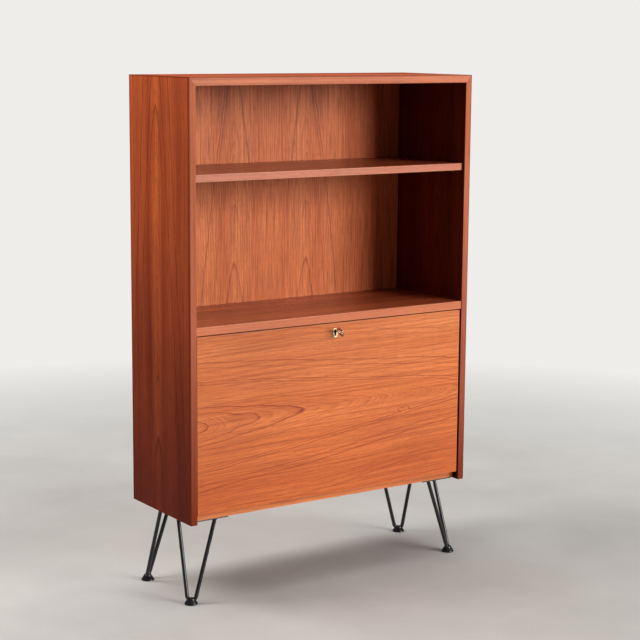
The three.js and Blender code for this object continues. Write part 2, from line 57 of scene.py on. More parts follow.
SHIFT_Y = 0.0165  # the carcass middle from the frame's origin
ROD_R = 0.005
LEG_TOP = Vector((0.368, 0.077, 0.212))
LEG_BEND = Vector((0.403, 0.112, 0.022))
LEG_TOP_HALF = 0.048
LEG_BEND_R = 0.012
GLIDE_AT = (0.4055, 0.1135)
PLATE_CORNER = (0.4055, 0.127)
PLATE_HOLES = [(0.013, 0.013), (0.012, 0.062), (0.052, 0.012)]
PLATE_Z = 0.212
KEY_Z = 0.6585
KEY_TURN = math.radians(30)
KEY_BOW_Y = -0.1705 + SHIFT_Y
KEY_BOW_R = 0.0106
KEY_BOW_WIRE = 0.0023
KEY_BIT_Y = -0.13775 + SHIFT_Y
KEY_BIT_Z = -0.0025
KEY_BIT_SIZE = (0.0018, 0.0045, 0.005)
ESCUTCHEON_Z = KEY_Z - 0.005
FLAP_FRONT_Y = -0.146 + SHIFT_Y
FLAP_INNER_Y = -0.128 + SHIFT_Y
HINGE_X = 0.3
HINGE_SCREWS_X = (-0.021, 0, 0.021)
HINGE_SCREW_INSET = 0.008
STAY_X = 0.3855
STAY_LUG_SCREWS_Z = (-0.0085, 0.0085)
STAY_LUG_BASE = 0.002
STAY_PLATE_SCREWS_Z = (-0.0145, 0.0145)
LOCK_SCREW_INSET = 0.006
STRIKE_SCREW_INSET = 0.0048

# ---------------------------------------------------------------- shader building


class Shader:
    """One material, with short ways to add and link its nodes."""

    def __init__(self, name):
        self.material = bpy.data.materials.new(name)
        self.material.use_nodes = True
        self.tree = self.material.node_tree
        self.tree.nodes.clear()

    def feed(self, socket, value):
        if isinstance(value, bpy.types.NodeSocket):
            self.tree.links.new(value, socket)
        else:
            socket.default_value = value

    def node(self, kind, inputs=None, **settings):
        made = self.tree.nodes.new(kind)
        for key, value in settings.items():
            setattr(made, key, value)
        for key, value in (inputs or {}).items():
            self.feed(made.inputs[key], value)
        return made

    def point(self):
        """Object coordinates."""
        return self.node("ShaderNodeTexCoord").outputs["Object"]

    def split(self, vector):
        """The x, y and z of a vector."""
        made = self.node("ShaderNodeSeparateXYZ", {0: vector})
        return [made.outputs[i] for i in range(3)]

    def math(self, operation, *values):
        return self.node("ShaderNodeMath", dict(enumerate(values)), operation=operation).outputs[0]

    def add(self, first, *others):
        for other in others:
            first = self.math("ADD", first, other)
        return first

    def times(self, a, b):
        return self.math("MULTIPLY", a, b)

    def distance(self, value):
        return self.math("ABSOLUTE", value)

    def vector(self, x, y, z):
        return self.node("ShaderNodeCombineXYZ", {0: x, 1: y, 2: z}).outputs[0]

    def noise(self, vector, scale=1.0, detail=2.0, roughness=0.5):
        inputs = {"Vector": vector, "Scale": scale, "Detail": detail, "Roughness": roughness}
        return self.node("ShaderNodeTexNoise", inputs).outputs[0]

    def swing(self, value, reach):
        """A noise value turned into plus or minus reach."""
        return self.times(self.add(value, -0.5), 2 * reach)

    def ramp(self, value, *stops):
        """A colour or a grey value that runs through (position, tone) stops."""
        made = self.node("ShaderNodeValToRGB", {"Fac": value})
        elements = made.color_ramp.elements
        while len(elements) < len(stops):
            elements.new(0.5)
        for element, (position, tone) in zip(elements, stops):
            element.position = position
            element.color = (*tone, 1) if isinstance(tone, tuple) else (tone, tone, tone, 1)
        return made.outputs[0]

    def mix(self, factor, a, b, blend="MIX"):
        made = self.node("ShaderNodeMix", data_type="RGBA", blend_type=blend)
        colour = [s for s in made.inputs if s.type == "RGBA"]
        self.feed(made.inputs[0], factor)
        for socket, value in zip(colour, (a, b)):
            self.feed(socket, (*value, 1) if isinstance(value, tuple) else value)
        return [s for s in made.outputs if s.type == "RGBA"][0]

    def surface(self, colour, roughness, height, depth, strength, **constants):
        """A Principled surface with a bump of that depth, and constants on its own sockets."""
        shader = self.node("ShaderNodeBsdfPrincipled")
        self.feed(shader.inputs["Base Color"], colour)
        self.feed(shader.inputs["Roughness"], roughness)
        for key, value in constants.items():
            shader.inputs[key.replace("_", " ")].default_value = value
        bump = self.node("ShaderNodeBump", {"Strength": strength, "Distance": depth, "Height": height})
        self.feed(shader.inputs["Normal"], bump.outputs[0])
        return shader.outputs[0]

    def finish(self, surface):
        """Ends the material in that surface."""
        self.node("ShaderNodeOutputMaterial", {"Surface": surface})
        return self.material


# ---------------------------------------------------------------- teak

# How often a noise changes in a metre, (along the grain, across it).
THREADS = (2.4, 230.0)
DASHES = (22.0, 430.0)
FRAYS = (16.0, 380.0)
PORES = (55.0, 1300.0)
DRIFT = (1.7, 3.5)
WANDER = (6.0, 24.0)
RIPPLE = (26.0, 110.0)
BANDS = (0.9, 17.0)
FLAMES = (5.0, 60.0)
PATCHES = 3.0

KNOT_SQUASH = 0.42  # a knot counts this much shorter along the grain, so it is drawn out that way
RING_TILT = 0.6  # how far the rings move per metre of board thickness
RING_CHANGES = 40.0  # how often the ring width changes in a metre of radius
RING_SHIFT = 1.6  # how many rings that change moves a line by
FINE_RINGS = 3.0  # thin rings in each growth ring
LATE_WOOD = [(0.0, 0.2), (0.06, 0.0), (0.62, 0.05), (0.84, 0.35), (0.94, 1.0), (1.0, 0.5)]
FINE_WOOD = [(0.0, 0.6), (0.15, 0.0), (0.6, 0.1), (0.9, 1.0), (1.0, 0.8)]
HEART_HALF = 0.04
RIM_WIDTH = 0.004
SEAM_WIDTH = 1 / 150
WORN_WOOD = (0.62, 0.3, 0.17)
OFF_BOARD = 1.0  # far enough to be off any board

# How strongly each of these covers the colour below it.
HEART_SHARE = 0.75
PORE_SHARE = 0.35
PATCH_SHARE = 0.22
OUTLINE_SHARE = 0.8
WORN_SHARE = 0.3

DULL_LIPPING = 0.12  # roughness that a lipping adds
TEAK_BUMP = 0.0003


class Grain:
    """A point of a board, along its grain, across it and into it, with noise drawn out along the grain."""

    def __init__(self, s, along, across, into):
        self.s = s
        self.along = along
        self.across = across
        self.into = into

    def solid(self, rates, detail=2.0, seed=0.0):
        """Noise that runs through the board's thickness."""
        into = self.s.add(self.s.times(self.into, rates[1]), seed)
        return self.stretched(rates, into, detail)

    def flat(self, rates, seed, detail=2.0):
        """Noise that is the same through the board's thickness."""
        return self.stretched(rates, seed, detail)

    def stretched(self, rates, third, detail):
        """Noise at those rates, with the third coordinate given."""
        s = self.s
        along, across = rates
        point = s.vector(s.times(self.along, along), s.times(self.across, across), third)
        return s.noise(point, detail=detail)


def knot_bulge(s, raw, knots):
    """How far the rings are pushed out round each knot, given as (along, across, reach, power)."""
    bulge = 0.0
    for knot_along, knot_across, reach, power in knots:
        far_along = s.times(s.add(raw.along, -knot_along), KNOT_SQUASH)
        far_across = s.add(raw.across, -knot_across)
        far = s.math("SQRT", s.add(s.times(far_along, far_along), s.times(far_across, far_across)))
        falloff = s.ramp(s.times(far, 1 / reach), (0.0, 1.0), (0.35, 0.6), (1.0, 0.0))
        bulge = s.add(bulge, s.times(falloff, power))
    return bulge


def bent_grain(s, raw, figure, seed):
    """The same point once the grain waves, leans and is mirrored at the edges of a veneer leaf."""
    wave = s.swing(raw.flat(DRIFT, seed, detail=1.0), figure.get("wave", 0.012))
    across = s.add(raw.across, wave, s.times(raw.along, figure.get("lean", 0.0)))
    if "leaf" in figure:
        start, width = figure["leaf"]
        across = s.math("PINGPONG", s.add(across, -start), width)
    return Grain(s, raw.along, across, raw.into)


def ring_radius(s, grain, offset, figure, seed):
    """Distance from the heart of the log, which grows along the board and wanders a little."""
    depth = figure["depth"]
    straight = s.math("SQRT", s.add(s.times(offset, offset), depth * depth))
    taper = s.times(grain.along, figure["taper"])
    wander = s.swing(grain.flat(WANDER, seed + 3, detail=3.0), figure.get("wander", 0.004))
    ripple = s.swing(grain.flat(RIPPLE, seed + 5), figure.get("ripple", 0.0008))
    return s.add(straight, taper, wander, ripple, s.times(grain.into, RING_TILT))


def ring_lines(s, radius, offset, fray, figure, seed):
    """The dark late wood of each growth ring, the thin rings in it, and the figure's single dark rings."""
    uneven = s.noise(s.vector(s.times(radius, RING_CHANGES), seed, 0.0), detail=1.0)
    phase = s.add(s.times(radius, 1 / figure["ring"]), s.swing(uneven, RING_SHIFT))
    number = s.add(s.math("FLOOR", phase), seed)
    weight = s.node("ShaderNodeTexWhiteNoise", {"W": number}, noise_dimensions="1D").outputs[0]
    line = s.ramp(s.math("FRACT", phase), *LATE_WOOD)
    line = s.times(line, s.add(s.times(s.times(weight, weight), 0.85), 0.15))
    line = s.times(line, s.ramp(fray, (0.3, 0.45), (0.6, 1.0)))
    if "spread" in figure:
        far = s.times(s.distance(offset), 1 / figure["spread"])
        line = s.times(line, s.ramp(far, (0.5, 1.0), (1.0, 0.12)))
    fine = s.ramp(s.math("FRACT", s.times(phase, FINE_RINGS)), *FINE_WOOD)
    fine = s.times(fine, s.ramp(fray, (0.35, 0.2), (0.6, 1.0)))
    line = s.math("MAXIMUM", line, s.times(fine, figure.get("fine", 0.2)))
    for place, half, power in figure.get("accents", ()):
        near = s.times(s.distance(s.add(radius, -place)), 0.5 / half)
        dark = s.ramp(near, (0.1, power), (0.5, power * 0.35), (1.0, 0.0))
        dark = s.times(dark, s.add(fray, 0.45))
        line = s.math("MAXIMUM", line, s.times(dark, s.math("GREATER_THAN", offset, 0.0)))
    return line


def grain_field(s, raw, figure, seed):
    """Growth-ring lines, bands, streaks, pores and heart at a point of a board."""
    grain = bent_grain(s, raw, figure, seed)
    offset = s.add(grain.across, -figure["centre"])
    bulge = knot_bulge(s, raw, figure.get("knots", ()))
    radius = s.add(ring_radius(s, grain, offset, figure, seed), bulge)
    threads = grain.solid(figure.get("threads", THREADS))
    heart = s.ramp(s.times(s.distance(offset), 1 / HEART_HALF), (0.05, 1.0), (0.8, 0.0))
    return {
        "line": ring_lines(s, radius, offset, grain.solid(FRAYS), figure, seed),
        "bands": grain.solid(BANDS, detail=3.0, seed=seed),
        "streak": s.add(s.times(threads, 0.65), s.times(grain.solid(DASHES), 0.35)),
        "pore": s.ramp(grain.solid(PORES, detail=1.0), (0.56, 0.0), (0.7, 1.0)),
        "heart": s.times(heart, s.ramp(grain.flat(FLAMES, seed), (0.35, 0.1), (0.6, 1.0))),
    }


def tint(s, field, tone):
    """The colour of that field, between the light, dark and line colours of a tone."""
    colour = s.mix(s.ramp(field["bands"], (0.34, 0.0), (0.66, 1.0)), tone["light"], tone["dark"])
    if "heart" in tone:
        colour = s.mix(s.times(field["heart"], HEART_SHARE), colour, tone["heart"])
    streak = s.ramp(field["streak"], (0.36, tone.get("streaks", 0.42)), (0.58, 0.0))
    colour = s.mix(streak, colour, tone["line"])
    colour = s.mix(s.times(field["line"], tone.get("contrast", 0.9)), colour, tone["line"])
    return s.mix(s.times(field["pore"], PORE_SHARE), colour, tone["line"])


def with_painted_shading(s, colour, xyz, painted_shading):
    """The colour times painted light and shade that run along an axis, given as (axis, start, end, shades).
    """
    axis, start, end, tones = painted_shading
    steps = [(i / (len(tones) - 1), shade) for i, shade in enumerate(tones)]
    shades = s.ramp(s.times(s.add(xyz[axis], -start), 1 / (end - start)), *steps)
    return s.mix(1.0, colour, shades, "MULTIPLY")


def rim_of(s, xyz, box, inner_face=None):
    """1 along the edges of a board and 0 elsewhere, leaving out those of its inner face, (axis, end)."""
    outline = [list(corner) for corner in box]
    if inner_face is not None:
        axis, end = inner_face
        outline[end][axis] += OFF_BOARD if end else -OFF_BOARD
    gaps = []
    for value, low, high in zip(xyz, *outline):
        gaps.append(s.math("SUBTRACT", (high - low) / 2, s.distance(s.add(value, -(low + high) / 2))))
    x, y, z = gaps
    second = s.math("MAXIMUM", s.math("MINIMUM", x, y), s.math("MINIMUM", s.math("MAXIMUM", x, y), z))
    return s.ramp(s.times(second, 1 / RIM_WIDTH), (0.1, 1.0), (0.75, 0.0))


def lipped(s, colour, xyz, box, board):
    """The colour with the board's lipping over its front edge, and where that lipping is."""
    into = 3 - board.grain - board.across
    behind = s.add(xyz[Y], -(box[0][Y] + board.lipping.depth))
    if board.lipping.seam:
        seam = s.ramp(s.times(behind, 1 / SEAM_WIDTH), (0.0, 0.8), (0.7, 0.6), (1.0, 0.0))
        colour = s.mix(seam, colour, SHADE_AND_JOINT_TONE["dark"])
    strip = Grain(s, xyz[board.grain], xyz[into], xyz[board.across])
    edge = tint(s, grain_field(s, strip, STRIP, board.seed + 11), board.lipping.tone)
    # The uprights' darkening towards the floor, partly painted shade, runs down their lipping too.
    if board.grain == Z:
        edge = with_painted_shading(s, edge, xyz, board.figure["painted_shading"])
    on_edge = s.math("LESS_THAN", behind, 0.0)
    return s.mix(on_edge, colour, edge), on_edge


def teak(name, box, board):
    """Oiled teak for one board: figure, painted shading, lipping, patches, then worn or outlined edges."""
    s = Shader(name)
    point = s.point()
    xyz = s.split(point)
    figure = board.figure
    low, high = box
    into = 3 - board.grain - board.across
    raw = Grain(s, xyz[board.grain], xyz[board.across], s.add(xyz[into], -low[into]))
    field = grain_field(s, raw, figure, board.seed)
    colour = tint(s, field, board.tone)
    # Only the right side has an outer tone: its inner half keeps the darker board tone, partly a darker board
    # and partly painted shade on the inner face.
    if "outer" in figure:
        outer_half = s.math("GREATER_THAN", xyz[into], (low[into] + high[into]) / 2)
        colour = s.mix(outer_half, colour, tint(s, field, figure["outer"]))
    # Painted light and shade along an axis.
    if "painted_shading" in figure:
        colour = with_painted_shading(s, colour, xyz, figure["painted_shading"])
    rough = board.roughness
    if board.lipping is not None:
        colour, on_edge = lipped(s, colour, xyz, box, board)
        rough = s.add(s.times(on_edge, DULL_LIPPING), rough)
    patch = s.noise(point, scale=PATCHES, detail=3.0)
    dark_patch = s.times(s.ramp(patch, (0.35, 0.0), (0.7, 1.0)), PATCH_SHARE)
    colour = s.mix(dark_patch, colour, board.tone["line"])
    rim = rim_of(s, xyz, box, figure.get("inner_face"))
    worn = s.times(rim, s.ramp(patch, (0.3, 0.25), (0.65, 0.8)))
    if "inner_face" in figure:
        colour = s.mix(s.times(rim, OUTLINE_SHARE), colour, SHADE_AND_JOINT_TONE["dark"])
    else:
        colour = s.mix(s.times(worn, WORN_SHARE), colour, WORN_WOOD)
    height = s.add(s.times(field["streak"], 0.25), s.times(field["line"], -0.35))
    height = s.add(height, s.times(field["pore"], -1.0))
    rough = s.add(s.times(field["pore"], 0.14), s.swing(patch, 0.08), s.times(worn, -0.08), rough)
    shine = board.shine
    made = s.surface(colour, rough, height, depth=TEAK_BUMP, strength=0.35, Specular_IOR_Level=shine)
    return s.finish(made)


# Colours of the early wood (light and dark bands), the late wood (line) and the heart.
FLAP_TONE = dict(
    light=(0.8, 0.255, 0.078),
    dark=(0.67, 0.185, 0.049),
    line=(0.24, 0.04, 0.018),
    contrast=1.5,
    streaks=0.5,
)
BACK_TONE = dict(
    light=(0.77, 0.235, 0.08),
    dark=(0.64, 0.165, 0.05),
    line=(0.15, 0.026, 0.013),
    contrast=1.0,
    streaks=0.6,
)
SIDE_TONE = dict(
    light=(0.44, 0.088, 0.026),
    dark=(0.27, 0.041, 0.013),
    line=(0.06, 0.009, 0.005),
    heart=(0.56, 0.13, 0.031),
    contrast=0.95,
)
# Dark of joints and outlines; also the right side's inner half, partly a darker board and partly painted
# shade.
SHADE_AND_JOINT_TONE = dict(
    light=(0.2, 0.027, 0.009),
    dark=(0.11, 0.013, 0.005),
    line=(0.035, 0.005, 0.003),
)
LEVEL_TONE = dict(
    light=(0.85, 0.245, 0.098),
    dark=(0.44, 0.09, 0.032),
    line=(0.13, 0.022, 0.01),
    contrast=0.9,
    streaks=0.6,
)
EDGE_TONE = dict(
    light=(0.58, 0.175, 0.085),
    dark=(0.48, 0.128, 0.055),
    line=(0.24, 0.05, 0.022),
    contrast=0.5,
    streaks=0.3,
)
SHELF_EDGE_TONE = {**EDGE_TONE, "light": (0.69, 0.2, 0.08), "dark": (0.58, 0.15, 0.053)}
TOP_EDGE_TONE = {**EDGE_TONE, "light": (0.68, 0.24, 0.135), "dark": (0.58, 0.185, 0.095)}
INSIDE_TONE = dict(
    light=(0.55, 0.2, 0.09),
    dark=(0.38, 0.12, 0.05),
    line=(0.17, 0.05, 0.022),
    contrast=0.7,
)
TRAY_TONE = dict(
    light=(0.66, 0.42, 0.22),
    dark=(0.52, 0.31, 0.15),
    line=(0.33, 0.17, 0.08),
    contrast=0.6,
)

# Painted light and shade that darken a board along an axis, where light falls off or a shadow lies: (axis,
# start, end, shades).
# Sides darker towards the floor: partly painted shade, partly the veneer's own darker lower part.
SIDE_SHADE_AND_VENEER = (Z, 0.23, 1.0, [(0.4, 0.22, 0.2), (0.62, 0.55, 0.6), (0.84, 0.8, 0.9), (1.0, 1.0, 1.0)])
# Shelves darker towards the right: painted shadow of the right side panel.
SHELF_PAINTED_SHADOW = (X, -0.4, 0.4, [(1.0, 1.0, 1.0), (0.85, 0.78, 0.75), (0.5, 0.36, 0.34)])
# Flap darker and deeper in colour towards its bottom, its top paler: painted sheen of the window.
FLAP_PAINTED_SHADING = (Z, 0.24, 0.67, [(0.87, 0.67, 0.52), (0.96, 0.86, 0.79), (1.0, 1.0, 1.0)])
# Back darker and redder towards the right: painted shade of the right side panel, partly the veneer's own
# redder streaks.
BACK_SHADE_AND_STREAKS = (X, -0.1, 0.39, [(1.0, 1.0, 1.0), (1.0, 0.96, 0.94), (1.0, 0.78, 0.74)])

# A figure says how a board was cut from its log:
#   centre: where the log's heart lies across the board, and depth: how far it lies behind the board's face
#   taper: what the ring radius gains in a metre along the board, which closes the rings into arches
#   ring: width of a growth ring, and fine: strength of the thin rings in it
#   wave, wander, ripple: how far the grain swings, from slow to quick, and lean: its slant
#   spread: how far from the heart the rings fade, and threads: noise rates of the long streaks
#   leaf: start and width of a mirrored veneer leaf
#   accents: single dark rings on the heart's high side across the board, as (ring radius, half width, power)
#   knots: places that push the rings out, as (along, across, reach, power)
#   inner_face: the only face without a dark outline, as (axis, end)
#   outer: tone of the half of the board's thickness with the higher coordinates
LEVEL = dict(centre=0.06, depth=0.05, taper=0.04, ring=0.009, wave=0.012)
TOP = {**LEVEL, "centre": 0.0, "inner_face": (Z, 0)}
FIXED_SHELF = {**LEVEL, "centre": 0.1, "painted_shading": SHELF_PAINTED_SHADOW}
LOOSE_SHELF = {**LEVEL, "centre": -0.02, "painted_shading": SHELF_PAINTED_SHADOW}
PIGEONHOLE = {**LEVEL, "centre": 0.2}
TRAY = {**LEVEL, "ring": 0.007}
FRONT = dict(centre=0.63, depth=0.02, taper=0.05, ring=0.008)
STRIP = dict(centre=0.3, depth=0.05, taper=0.004, ring=0.009, wave=0.002, wander=0.003)
SIDE = dict(
    centre=0.03,
    depth=0.04,
    taper=0.075,
    ring=0.0095,
    wave=0.008,
    wander=0.003,
    fine=0.25,
    painted_shading=SIDE_SHADE_AND_VENEER,
)
LEFT_SIDE = {**SIDE, "inner_face": (X, 1)}
# The inner half keeps the darker tone, partly painted shade on the inner face; the outer half has the side
# tone.
RIGHT_SIDE = {**SIDE, "centre": -0.02, "inner_face": (X, 0), "outer": SIDE_TONE}
BACK = dict(
    centre=0.1125,
    depth=0.016,
    taper=0.132,
    ring=0.0125,
    wave=0.006,
    wander=0.004,
    ripple=0.0014,
    spread=0.075,
    fine=0.14,
    leaf=(-0.0125, 0.45),
    accents=[(0.1975, 0.0014, 0.7), (0.164, 0.001, 0.4)],
    threads=(6.0, 300.0),
    painted_shading=BACK_SHADE_AND_STREAKS,
)
FLAP = dict(
    centre=0.46,
    depth=0.026,
    taper=0.1,
    ring=0.0085,
    wave=0.014,
    wander=0.006,
    fine=0.3,
    threads=(2.2, 200.0),
    lean=-0.02,
    painted_shading=FLAP_PAINTED_SHADING,
    knots=[(0.222, 0.474, 0.014, 0.02), (0.216, 0.436, 0.014, 0.02), (-0.314, 0.462, 0.03, 0.008)],
)

Lipping = namedtuple("Lipping", "tone depth seam")
SOLID_DEPTH = 0.006
VENEER_DEPTH = 0.0013
LIPPING = Lipping(EDGE_TONE, SOLID_DEPTH, False)
SHELF_LIPPING = Lipping(SHELF_EDGE_TONE, SOLID_DEPTH, False)
BOTTOM_LIPPING = Lipping(FLAP_TONE, SOLID_DEPTH, False)
THIN_LIPPING = Lipping(EDGE_TONE, VENEER_DEPTH, True)
TOP_LIPPING = Lipping(TOP_EDGE_TONE, VENEER_DEPTH, True)

# grain and across are the axes along the grain and across it, shine is the specular level
Board = namedtuple("Board", "grain across figure tone seed roughness shine lipping", defaults=[None])
BOARDS = {
    "side_panel_left": Board(Z, Y, LEFT_SIDE, SIDE_TONE, 1.3, 0.4, 0.05, THIN_LIPPING),
    # the right side's inner half is partly painted shade
    "side_panel_right": Board(Z, Y, RIGHT_SIDE, SHADE_AND_JOINT_TONE, 4.1, 0.4, 0.08, THIN_LIPPING),
    "top_panel": Board(X, Y, TOP, SIDE_TONE, 7.7, 0.45, 0.12, TOP_LIPPING),
    "back_panel": Board(Z, X, BACK, BACK_TONE, 2.9, 0.45, 0.15),
    "bottom_panel": Board(X, Y, LEVEL, LEVEL_TONE, 9.2, 0.42, 0.25, BOTTOM_LIPPING),
    "fixed_shelf": Board(X, Y, FIXED_SHELF, LEVEL_TONE, 5.6, 0.28, 0.34, SHELF_LIPPING),
    "adjustable_shelf": Board(X, Y, LOOSE_SHELF, LEVEL_TONE, 12.4, 0.28, 0.34, LIPPING),
    "flap": Board(X, Z, FLAP, FLAP_TONE, 6.3, 0.4, 0.2),
    "pigeonhole_shelf": Board(X, Y, PIGEONHOLE, INSIDE_TONE, 3.4, 0.46, 0.25),
}
for i in (1, 2, 3):
    divider = {**LEVEL, "centre": 0.55 + 0.05 * i}
    BOARDS[f"divider_{i}"] = Board(Y, Z, divider, INSIDE_TONE, 14.0 + i, 0.46, 0.25)
for i, half in enumerate(HALVES):
    BOARDS[f"drawer_front_{half}"] = Board(X, Z, FRONT, FLAP_TONE, 17.5 + 2 * i, 0.42, 0.25)
    BOARDS[f"drawer_tray_{half}"] = Board(Y, X, TRAY, TRAY_TONE, 19.5 + 2 * i, 0.5, 0.25)
    BOARDS[f"flap_stop_{half}"] = Board(X, Z, LEVEL, INSIDE_TONE, 24.5 + 2 * i, 0.46, 0.25)

SHELL_ARRIS = 0.0011
BOARD_ARRIS = 0.0007
BRASS_ARRIS = 0.00025
STEEL_ARRIS = 0.0005
SAME_PLACE = 1e-5
ARRIS_ANGLE = math.radians(50)


def soften(piece, width, segments=3, chosen=None):
    """Rounds the arrises of a CAD piece, or only the edges that chosen accepts."""
    weld = piece.modifiers.new("weld", "WELD")
    weld.merge_threshold = SAME_PLACE
    bevel = piece.modifiers.new("arrises", "BEVEL")
    bevel.width = width
    bevel.segments = segments
    bevel.use_clamp_overlap = False
    if chosen is None:
        bevel.limit_method = "ANGLE"
        bevel.angle_limit = ARRIS_ANGLE
        return
    bevel.limit_method = "WEIGHT"
    weights = piece.data.attributes.new("bevel_weight_edge", "FLOAT", "EDGE")
    for edge in piece.data.edges:
        a, b = (piece.data.vertices[i].co for i in edge.vertices)
        weights.data[edge.index].value = 1.0 if chosen(a, b) else 0.0


def front_arris(name):
    """A test that accepts the long edges of a carcass board's front face."""
    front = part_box(name)[0].y + SAME_PLACE
    across = X if name.startswith("side") else Z

    def chosen(a, b):
        return max(a.y, b.y) <= front and abs(a[across] - b[across]) < SAME_PLACE

    return chosen


for name, board in BOARDS.items():
    nodes[name].material_slots[0].material = teak("teak_" + name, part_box(name), board)
    if name.startswith("side") or name == "top_panel":
        soften(nodes[name], SHELL_ARRIS, chosen=front_arris(name))
    else:
        soften(nodes[name], BOARD_ARRIS)

# ---------------------------------------------------------------- metals and plastic

SCRATCHES = (260.0, 2600.0)
MEAN_WEAR = 0.15  # what the noise adds to a roughness on average
DUST = (0.06, 0.058, 0.055)


def metal(name, base, dull, roughness):
    """Metal with a handled surface: uneven sheen, dulled patches and fine scratches along X."""
    s = Shader(name)
    point = s.point()
    cloud = s.noise(point, scale=90.0, detail=4.0, roughness=0.6)
    spots = s.noise(point, scale=600.0, detail=2.0)
    scratches = Grain(s, *s.split(point)).solid(SCRATCHES, detail=1.0)
    pitted = tuple(0.45 * v for v in dull)
    colour = s.mix(s.ramp(cloud, (0.4, 0.0), (0.72, 0.75)), base, dull)
    colour = s.mix(s.ramp(spots, (0.62, 0.0), (0.74, 0.5)), colour, pitted)
    rough = s.add(s.times(cloud, 0.22), s.times(scratches, 0.12), roughness - MEAN_WEAR)
    height = s.add(scratches, s.times(spots, 0.6))
    return s.finish(s.surface(colour, rough, height, depth=0.00005, strength=0.25, Metallic=1.0))


def black_coat(name, base, roughness, bump, shine=0.5):
    """Black lacquer or moulded plastic, with a fine skin, dust in the hollows and rubbed spots."""
    s = Shader(name)
    point = s.point()
    skin = s.noise(point, scale=1400.0, detail=2.0)
    cloud = s.noise(point, scale=45.0, detail=4.0, roughness=0.6)
    rubbed = tuple(v * 1.8 + 0.004 for v in base)
    colour = s.mix(s.ramp(cloud, (0.38, 0.0), (0.75, 0.8)), base, rubbed)
    colour = s.mix(s.times(s.ramp(skin, (0.6, 0.0), (0.75, 1.0)), 0.15), colour, DUST)
    rough = s.add(s.times(cloud, 0.2), s.times(skin, 0.1), roughness - MEAN_WEAR)
    return s.finish(s.surface(colour, rough, skin, depth=bump, strength=0.3, Specular_IOR_Level=shine))


dull_brass = metal("brass_dark", (0.2, 0.13, 0.065), dull=(0.1, 0.065, 0.035), roughness=0.5)
brass = metal("brass_aged", (0.72, 0.48, 0.2), dull=(0.4, 0.25, 0.11), roughness=0.34)
plated = metal("escutcheon_plated", (0.74, 0.56, 0.36), dull=(0.5, 0.36, 0.22), roughness=0.36)
# Nickel with its base darker than the bare metal, painted dark reflections; its dulled patches are wear.
nickel = metal("nickel_worn_painted_dark", (0.5, 0.44, 0.38), dull=(0.26, 0.21, 0.17), roughness=0.2)
steel = metal("steel_bright", (0.62, 0.61, 0.59), dull=(0.36, 0.34, 0.32), roughness=0.3)
black_steel = black_coat("black_steel_lacquer", (0.006, 0.006, 0.0065), roughness=0.32, bump=0.00006)
# Painted shade inside the keyhole: the lock barrel and a disc behind the escutcheon take this near black.
keyhole_shade = black_coat("keyhole_painted_shade", (0.004, 0.003, 0.002), roughness=0.65, bump=0.00004, shine=0.05)
black_plastic = black_coat("black_plastic_glide", (0.005, 0.005, 0.006), roughness=0.2, bump=0.00003)

# The bolt and strike plate are aged brass; the barrel is near black, painted shade in the keyhole.
LOCK_PARTS = {"lock_bolt": dull_brass, "strike_plate": dull_brass, "lock_barrel": keyhole_shade}

for name, piece in nodes.items():
    if name in BOARDS:
        continue
    slot = piece.material_slots[0].material.name
    if slot.startswith("brass"):
        piece.material_slots[0].material = LOCK_PARTS.get(name, brass)
        soften(piece, BRASS_ARRIS, 2)
    elif slot.startswith("black_steel"):
        piece.material_slots[0].material = black_steel
        soften(piece, STEEL_ARRIS, 2)
    elif slot.startswith("nickel"):
        piece.material_slots[0].material = nickel
    elif slot.startswith("black_plastic"):
        piece.material_slots[0].material = black_plastic

# ---------------------------------------------------------------- finer pieces

ON_AXIS = 1e-7
SHARP_ANGLE = math.radians(38)
UPRIGHT = Matrix.Rotation(math.pi / 2, 4, "X")  # turns +Z to the front
NO_TURN = Matrix.Identity(4)


def link(name, data):
    """A new object of the scene."""
    made = bpy.data.objects.new(name, data)
    bpy.context.scene.collection.objects.link(made)
    return made


def mesh_data(mesh, name):
    """A bmesh turned into mesh data, and freed."""
    data = bpy.data.meshes.new(name)
    mesh.to_mesh(data)
    mesh.free()
    return data


def coated(data, material, sharp=SHARP_ANGLE):
    """Smooth shading with sharp corners, and one material."""
    data.shade_smooth()
    data.set_sharp_from_angle(angle=sharp)
    data.materials.clear()
    data.materials.append(material)
    return data


def evaluated_mesh(thing):
    """The mesh of an object with its modifiers or curve bevel applied."""
    bpy.context.view_layer.update()
    graph = bpy.context.evaluated_depsgraph_get()
    return bpy.data.meshes.new_from_object(thing.evaluated_get(graph))


def placed(data, name, body, matrix=NO_TURN):
    """A new piece that rides with a CAD body."""
    piece = link(name, data)
    piece.matrix_world = matrix
    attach(piece, body)
    return piece


def piece_from(mesh, name, material, body):
    """A new piece from a bmesh."""
    bmesh.ops.recalc_face_normals(mesh, faces=mesh.faces)
    return placed(coated(mesh_data(mesh, name), material), name, body)


def join_rings(mesh, low, high, sides):
    """Faces between two rings, of which one may be a single point."""
    for i in range(sides):
        j = (i + 1) % sides
        if len(low) == 1:
            mesh.faces.new((low[0], high[i], high[j]))
        elif len(high) == 1:
            mesh.faces.new((low[i], low[j], high[0]))
        else:
            mesh.faces.new((low[i], low[j], high[j], high[i]))


def full_turn(sides):
    """Angles of a regular polygon's corners."""
    return [2 * math.pi * i / sides for i in range(sides)]


def lathe(mesh, profile, matrix=NO_TURN, sides=40):
    """Turns (radius, height) points about Z, closed at both ends on the axis."""
    rings = []
    for radius, height in profile:
        turn = [0] if radius < ON_AXIS else full_turn(sides)
        ring = [Vector((radius * math.cos(t), radius * math.sin(t), height)) for t in turn]
        rings.append([mesh.verts.new(matrix @ point) for point in ring])
    for low, high in zip(rings, rings[1:]):
        join_rings(mesh, low, high, sides)


